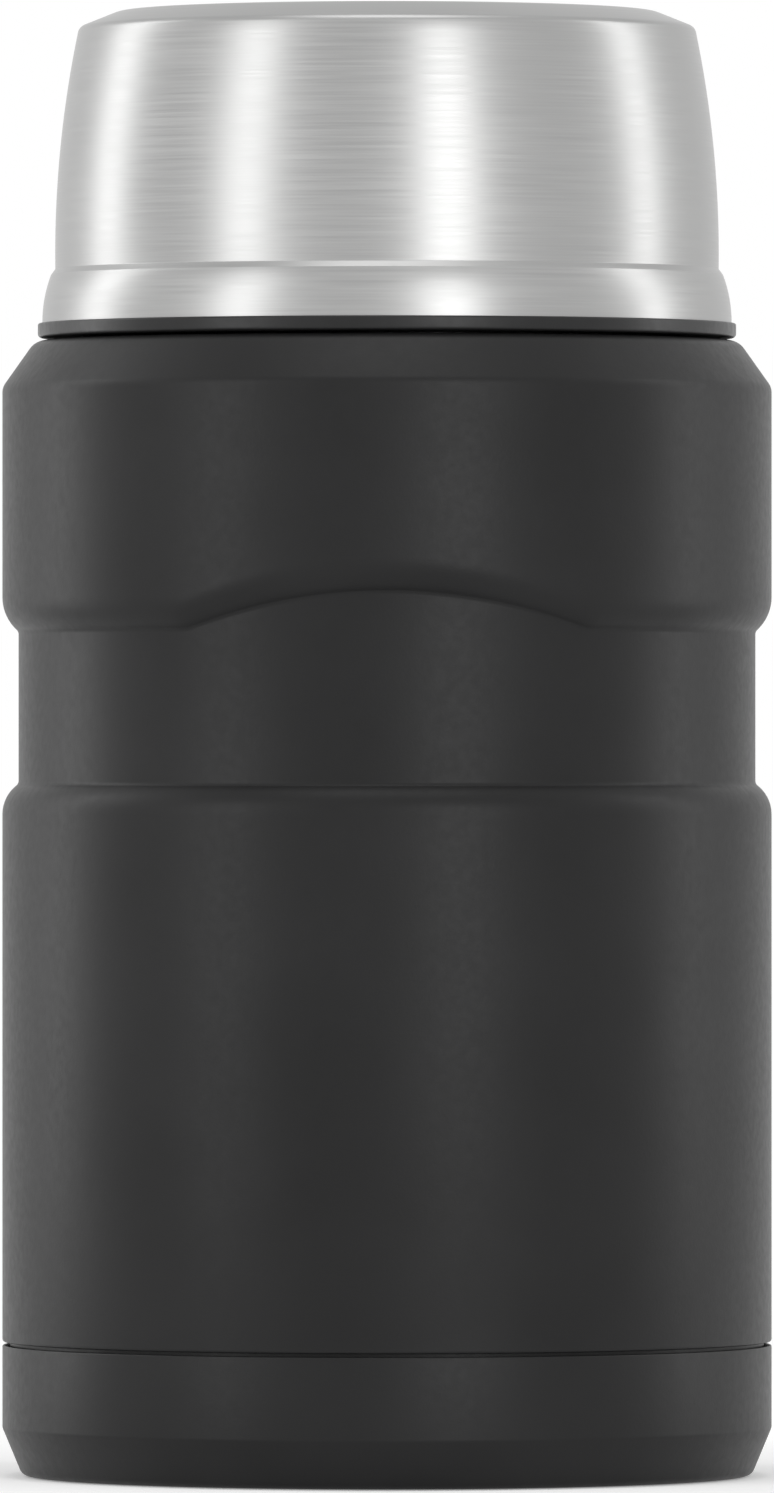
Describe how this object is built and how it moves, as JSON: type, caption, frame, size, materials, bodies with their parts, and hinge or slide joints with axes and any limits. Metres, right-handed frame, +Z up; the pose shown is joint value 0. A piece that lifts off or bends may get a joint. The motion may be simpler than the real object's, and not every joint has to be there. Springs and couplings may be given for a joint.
{
  "type": "insulated food jar",
  "caption": "Vacuum-insulated steel food jar with a painted body, an arched waist, an inner screw stopper and a screw-on steel bowl lid.",
  "frame": {"origin": "centre of the standing ring on the table plane, at rest", "axes": "+Z up along the jar's axis, -Y towards the front with the arched recess, +X to the right of the front view"},
  "size_m": [0.095, 0.095, 0.1807],
  "materials": {
    "painted_steel": "matt powder coat",
    "lid_steel": "satin, brushed round",
    "bowl_steel": "satin",
    "vessel_steel": "electropolished",
    "vacuum_steel": "as rolled",
    "ring_plastic": "fine satin",
    "stopper_plastic": "fine spark-eroded grain",
    "gasket_silicone": "soft satin",
    "insulation_foam": "beaded foam",
    "shield_foil": "bright foil",
    "solder_glass": "glossy bead",
    "getter_pellet": "sintered"
  },
  "bodies": {
    "jar": {"outer_shell": "painted_steel", "base_cup": "painted_steel", "shell_bottom": "vacuum_steel", "evacuation_seal": "solder_glass", "inner_vessel": "vessel_steel", "inner_vessel_bottom": "vessel_steel", "heat_shield_foil": "shield_foil", "getter_holder": "vacuum_steel", "getter": "getter_pellet"},
    "stopper_slide": {"stopper_gasket": "gasket_silicone"},
    "stopper": {"stopper_body": "stopper_plastic", "stopper_cover": "stopper_plastic", "stopper_insulation": "insulation_foam"},
    "lid_slide": {"lid_inner_bowl": "bowl_steel"},
    "lid": {"lid_outer_shell": "lid_steel", "lid_rim_ring": "ring_plastic"}
  },
  "joints": [
    {"name": "lid_rise", "type": "slide", "parent": "jar", "child": "lid_slide", "axis": [0, 0, 1], "range_m": [0, 0.02]},
    {"name": "lid_turn", "type": "hinge", "parent": "lid_slide", "child": "lid", "pos_m": [0, 0, 0.1454], "axis": [0, 0, 1], "range_deg": [0, 1440]},
    {"name": "stopper_rise", "type": "slide", "parent": "jar", "child": "stopper_slide", "axis": [0, 0, 1], "range_m": [0, 0.02]},
    {"name": "stopper_turn", "type": "hinge", "parent": "stopper_slide", "child": "stopper", "pos_m": [0, 0, 0.1428], "axis": [0, 0, 1], "range_deg": [0, 1440]}
  ],
  "couplings": [
    {"joint": "lid_rise", "follows": "lid_turn", "m_per_rad": 0.00079576},
    {"joint": "stopper_rise", "follows": "stopper_turn", "m_per_rad": 0.00079576}
  ]
}
